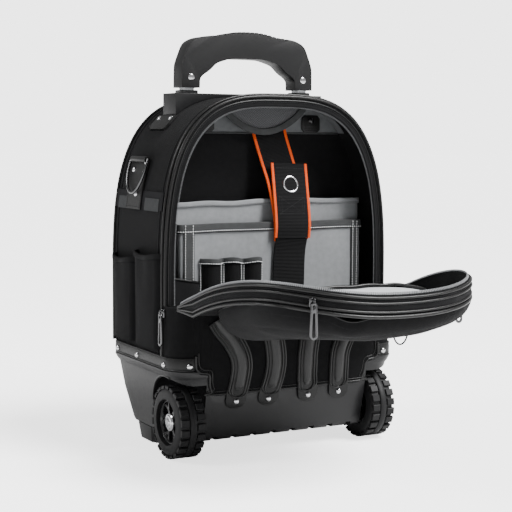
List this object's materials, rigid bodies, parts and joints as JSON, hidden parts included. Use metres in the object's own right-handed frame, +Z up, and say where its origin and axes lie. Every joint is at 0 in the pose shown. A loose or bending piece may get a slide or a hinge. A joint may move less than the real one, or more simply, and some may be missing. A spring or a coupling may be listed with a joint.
{
  "type": "wheeled tool backpack",
  "caption": "Wheeled tool backpack with a moulded base, telescoping handle, open zipped door, inner sleeves and pockets, skid ribs and side D-rings.",
  "frame": {"origin": "on the floor, under the middle of the bounding box", "axes": "+Z up, -Y towards the open door at the front, +X to the right as seen from the front"},
  "size_m": [0.4446, 0.6072, 0.7015],
  "materials": {
    "nylon": "black woven ballistic nylon",
    "grey_cloth": "mid grey woven lining",
    "pale_cloth": "pale grey woven lining",
    "webbing": "black ribbed webbing with orange edge tape",
    "leather_trim": "black grained trim",
    "moulded": "dark grey moulded plastic, fine grain",
    "hub_plastic": "black moulded plastic",
    "grip_rubber": "soft black grip",
    "tyre": "black treaded rubber",
    "chrome": "polished",
    "aluminium": "brushed and anodised",
    "axle_steel": "plain",
    "back_mesh": "black padded spacer mesh"
  },
  "bodies": {
    "bag": {"base_shell": "moulded", "top_housing": "moulded", "axle": "axle_steel", "rim_band": "leather_trim", "corner_patch_left": "leather_trim", "corner_patch_right": "leather_trim", "anchor_tab_left": "leather_trim", "anchor_tab_right": "leather_trim", "ring_tab_left": "leather_trim", "ring_tab_right": "leather_trim", "skid_rib_outer_left": "leather_trim", "skid_rib_inner_left": "leather_trim", "skid_rib_inner_right": "leather_trim", "skid_rib_outer_right": "leather_trim", "bag_shell": "nylon", "front_zip_rim": "nylon", "front_panel": "nylon", "door_gusset": "nylon", "door_panel": "nylon", "door_pocket_rear": "nylon", "door_outer_pocket": "nylon", "pull_cord": "nylon", "pen_pockets": "nylon", "wall_pocket": "nylon", "side_pocket_front_left": "nylon", "side_pocket_rear_left": "nylon", "side_pocket_front_right": "nylon", "side_pocket_rear_right": "nylon", "back_panel": "back_mesh", "shoulder_strap_left": "back_mesh", "shoulder_strap_right": "back_mesh", "partition": "grey_cloth", "rear_sleeve": "grey_cloth", "front_sleeve": "grey_cloth", "top_flap": "grey_cloth", "door_liner": "pale_cloth", "door_pocket_front": "pale_cloth", "strap_upper": "webbing", "strap_lower": "webbing", "side_webbing_left": "webbing", "side_webbing_right": "webbing", "strap_webbing_left": "webbing", "strap_webbing_right": "webbing", "strap_eyelet": "chrome", "d_ring_left": "chrome", "d_ring_right": "chrome", "zip_pull_side": "chrome", "zip_pull_front": "chrome", "zip_pull_right": "chrome", "handle_guide_left": "aluminium", "handle_guide_right": "aluminium"},
    "wheel_left": {"tyre_left": "tyre", "hub_left": "hub_plastic", "hub_cap_left": "chrome"},
    "wheel_right": {"tyre_right": "tyre", "hub_right": "hub_plastic", "hub_cap_right": "chrome"},
    "handle": {"grip": "grip_rubber", "rod_left": "aluminium", "rod_right": "aluminium"}
  },
  "joints": [
    {"name": "wheel_left_spin", "type": "hinge", "parent": "bag", "child": "wheel_left", "pos_m": [-0.181, 0.07598, 0.06], "axis": [1, 0, 0], "continuous": true},
    {"name": "wheel_right_spin", "type": "hinge", "parent": "bag", "child": "wheel_right", "pos_m": [0.181, 0.07598, 0.06], "axis": [1, 0, 0], "continuous": true},
    {"name": "handle_slide", "type": "slide", "parent": "bag", "child": "handle", "axis": [0, 0, 1], "range_m": [0, 0.37]}
  ]
}
